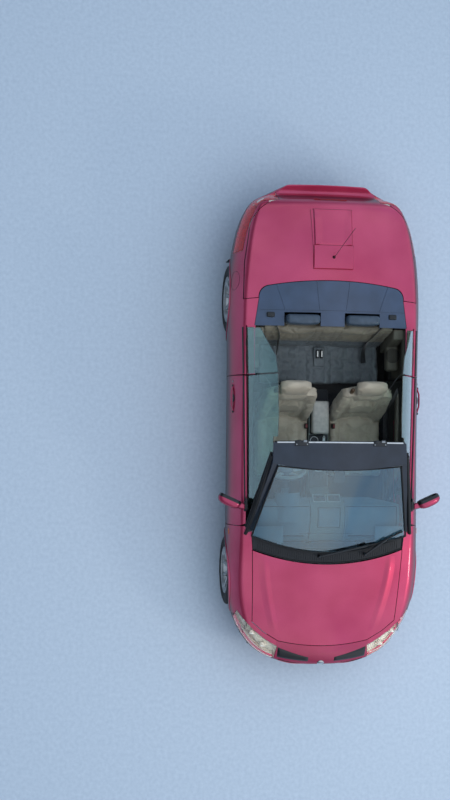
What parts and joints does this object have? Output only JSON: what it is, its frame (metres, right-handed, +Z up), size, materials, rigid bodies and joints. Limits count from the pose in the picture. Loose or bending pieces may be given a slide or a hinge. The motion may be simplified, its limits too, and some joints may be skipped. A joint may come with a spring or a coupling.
{
  "type": "convertible car",
  "caption": "Small two-door convertible car with its roof stowed, windscreen and side windows up, and seats in two rows.",
  "frame": {"origin": "on the ground, midway along the car's length and width", "axes": "+Z up, -Y the way the car drives forwards, +X the car's left side"},
  "size_m": [2.0278, 4.38, 1.378],
  "materials": {
    "paint": "gloss",
    "paint_plastic": "gloss",
    "under_body": "satin",
    "deck_trim": "matte",
    "black_plastic": "matte",
    "frame_black": "satin",
    "clear_glass": "gloss",
    "lamp_clear": "gloss",
    "lamp_red": "gloss",
    "steel": "satin",
    "iron": "matte",
    "alloy": "satin",
    "tyre": "matte",
    "beige_leather": "satin",
    "grey_leather": "satin",
    "trim_grey": "matte"
  },
  "bodies": {
    "body": {"front_structure": "under_body", "floor_pan": "under_body", "rear_structure": "under_body", "front_bumper": "paint_plastic", "rear_bumper": "paint_plastic", "wing_left": "paint", "wing_right": "paint", "quarter_left": "paint", "quarter_right": "paint", "rear_deck": "deck_trim", "cowl": "black_plastic", "windscreen_frame": "frame_black", "windscreen_glass": "clear_glass", "headlamp_left": "lamp_clear", "headlamp_right": "lamp_clear", "tail_lamp_left": "lamp_red", "tail_lamp_right": "lamp_red", "grille": "black_plastic", "front_subframe": "steel", "rear_axle": "iron", "exhaust": "steel", "fuel_tank": "black_plastic", "engine_block": "iron", "dashboard": "trim_grey", "centre_console": "trim_grey", "seat_left": "beige_leather", "seat_right": "beige_leather", "rear_bench": "grey_leather", "rear_headrests": "grey_leather", "quarter_glass_left": "clear_glass", "quarter_glass_right": "clear_glass"},
    "bonnet": {"bonnet": "paint"},
    "boot_lid": {"boot_lid": "paint"},
    "door_left": {"door_left": "paint", "door_glass_left": "clear_glass", "mirror_left": "paint_plastic"},
    "door_right": {"door_right": "paint", "door_glass_right": "clear_glass", "mirror_right": "paint_plastic"},
    "steering_wheel": {"steering_wheel": "trim_grey"},
    "knuckle_left": {"knuckle_left": "iron"},
    "knuckle_right": {"knuckle_right": "iron"},
    "wheel_front_left": {"rim_front_left": "alloy", "tyre_front_left": "tyre"},
    "wheel_front_right": {"rim_front_right": "alloy", "tyre_front_right": "tyre"},
    "wheel_rear_left": {"rim_rear_left": "alloy", "tyre_rear_left": "tyre"},
    "wheel_rear_right": {"rim_rear_right": "alloy", "tyre_rear_right": "tyre"}
  },
  "joints": [
    {"name": "bonnet_hinge", "type": "hinge", "parent": "body", "child": "bonnet", "pos_m": [0, -1.132, 0.9], "axis": [-1, 0, 0], "range_deg": [0, 55]},
    {"name": "boot_lid_hinge", "type": "hinge", "parent": "body", "child": "boot_lid", "pos_m": [0, 1.15, 1.02], "axis": [1, 0, 0], "range_deg": [0, 70]},
    {"name": "door_left_hinge", "type": "hinge", "parent": "body", "child": "door_left", "pos_m": [0.868, -0.838, 0.6], "axis": [0, 0, -1], "range_deg": [0, 65]},
    {"name": "door_right_hinge", "type": "hinge", "parent": "body", "child": "door_right", "pos_m": [-0.868, -0.838, 0.6], "axis": [0, 0, 1], "range_deg": [0, 65]},
    {"name": "steer_left", "type": "hinge", "parent": "body", "child": "knuckle_left", "pos_m": [0.692, -1.3375, 0.185], "axis": [-0.1503, 0, 0.9886], "range_deg": [-32, 32]},
    {"name": "steer_right", "type": "hinge", "parent": "body", "child": "knuckle_right", "pos_m": [-0.692, -1.3375, 0.185], "axis": [0.1503, 0, 0.9886], "range_deg": [-33, 33]},
    {"name": "steering_wheel_turn", "type": "hinge", "parent": "body", "child": "steering_wheel", "pos_m": [-0.36, -0.395, 0.72], "axis": [0, 0.9135, 0.4067], "range_deg": [-500, 500]},
    {"name": "wheel_front_left_turn", "type": "hinge", "parent": "knuckle_left", "child": "wheel_front_left", "pos_m": [0.759, -1.3375, 0.316], "axis": [1, 0, 0], "continuous": true},
    {"name": "wheel_front_right_turn", "type": "hinge", "parent": "knuckle_right", "child": "wheel_front_right", "pos_m": [-0.759, -1.3375, 0.316], "axis": [1, 0, 0], "continuous": true},
    {"name": "wheel_rear_left_turn", "type": "hinge", "parent": "body", "child": "wheel_rear_left", "pos_m": [0.757, 1.1845, 0.316], "axis": [1, 0, 0], "continuous": true},
    {"name": "wheel_rear_right_turn", "type": "hinge", "parent": "body", "child": "wheel_rear_right", "pos_m": [-0.757, 1.1845, 0.316], "axis": [1, 0, 0], "continuous": true}
  ],
  "couplings": [
    {"joint": "steer_right", "follows": "steer_left", "ratio": 1},
    {"joint": "steering_wheel_turn", "follows": "steer_left", "ratio": 15}
  ]
}
